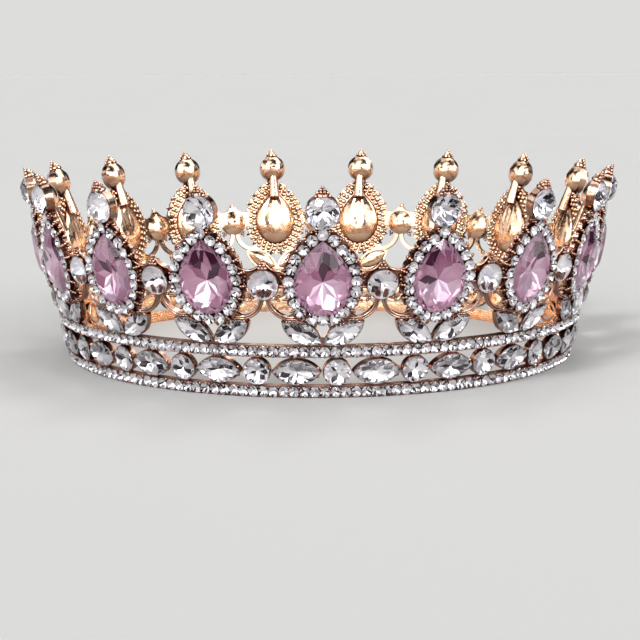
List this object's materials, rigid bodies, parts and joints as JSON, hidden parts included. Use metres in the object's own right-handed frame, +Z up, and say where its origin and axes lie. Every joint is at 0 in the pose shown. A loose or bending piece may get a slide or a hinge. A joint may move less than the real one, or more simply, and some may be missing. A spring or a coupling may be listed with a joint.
{
  "type": "bridal crown",
  "caption": "Round bridal crown in rose gold with two rhinestone rows, a band of marquise and round crystals, and pink pear crystals in halos under clear round ones.",
  "frame": {"origin": "centre of the round foot, on the surface that the crown stands on", "axes": "+Z up along the crown's axis, -Y to the front pear"},
  "size_m": [0.1689, 0.1685, 0.0531],
  "materials": {
    "rose_gold": "polished",
    "pink_crystal": "polished",
    "clear_crystal": "polished",
    "rhinestone": "polished"
  },
  "bodies": {
    "root": {"frame": "rose_gold", "pear_stone_01": "pink_crystal", "pear_stone_02": "pink_crystal", "pear_stone_03": "pink_crystal", "pear_stone_04": "pink_crystal", "pear_stone_05": "pink_crystal", "pear_stone_06": "pink_crystal", "pear_stone_07": "pink_crystal", "pear_stone_08": "pink_crystal", "pear_stone_09": "pink_crystal", "pear_stone_10": "pink_crystal", "pear_stone_11": "pink_crystal", "pear_stone_12": "pink_crystal", "pear_stone_13": "pink_crystal", "pear_stone_14": "pink_crystal", "pear_stone_15": "pink_crystal", "pear_stone_16": "pink_crystal", "pear_stone_17": "pink_crystal", "crest_stone_01": "clear_crystal", "crest_stone_02": "clear_crystal", "crest_stone_03": "clear_crystal", "crest_stone_04": "clear_crystal", "crest_stone_05": "clear_crystal", "crest_stone_06": "clear_crystal", "crest_stone_07": "clear_crystal", "crest_stone_08": "clear_crystal", "crest_stone_09": "clear_crystal", "crest_stone_10": "clear_crystal", "crest_stone_11": "clear_crystal", "crest_stone_12": "clear_crystal", "crest_stone_13": "clear_crystal", "crest_stone_14": "clear_crystal", "crest_stone_15": "clear_crystal", "crest_stone_16": "clear_crystal", "crest_stone_17": "clear_crystal", "spacer_stones": "clear_crystal", "leaf_stones": "clear_crystal", "band_round_stones": "clear_crystal", "band_marquise_stones": "clear_crystal", "halo_stones": "rhinestone", "upper_row_stones": "rhinestone", "lower_row_stones": "rhinestone"}
  },
  "joints": []
}
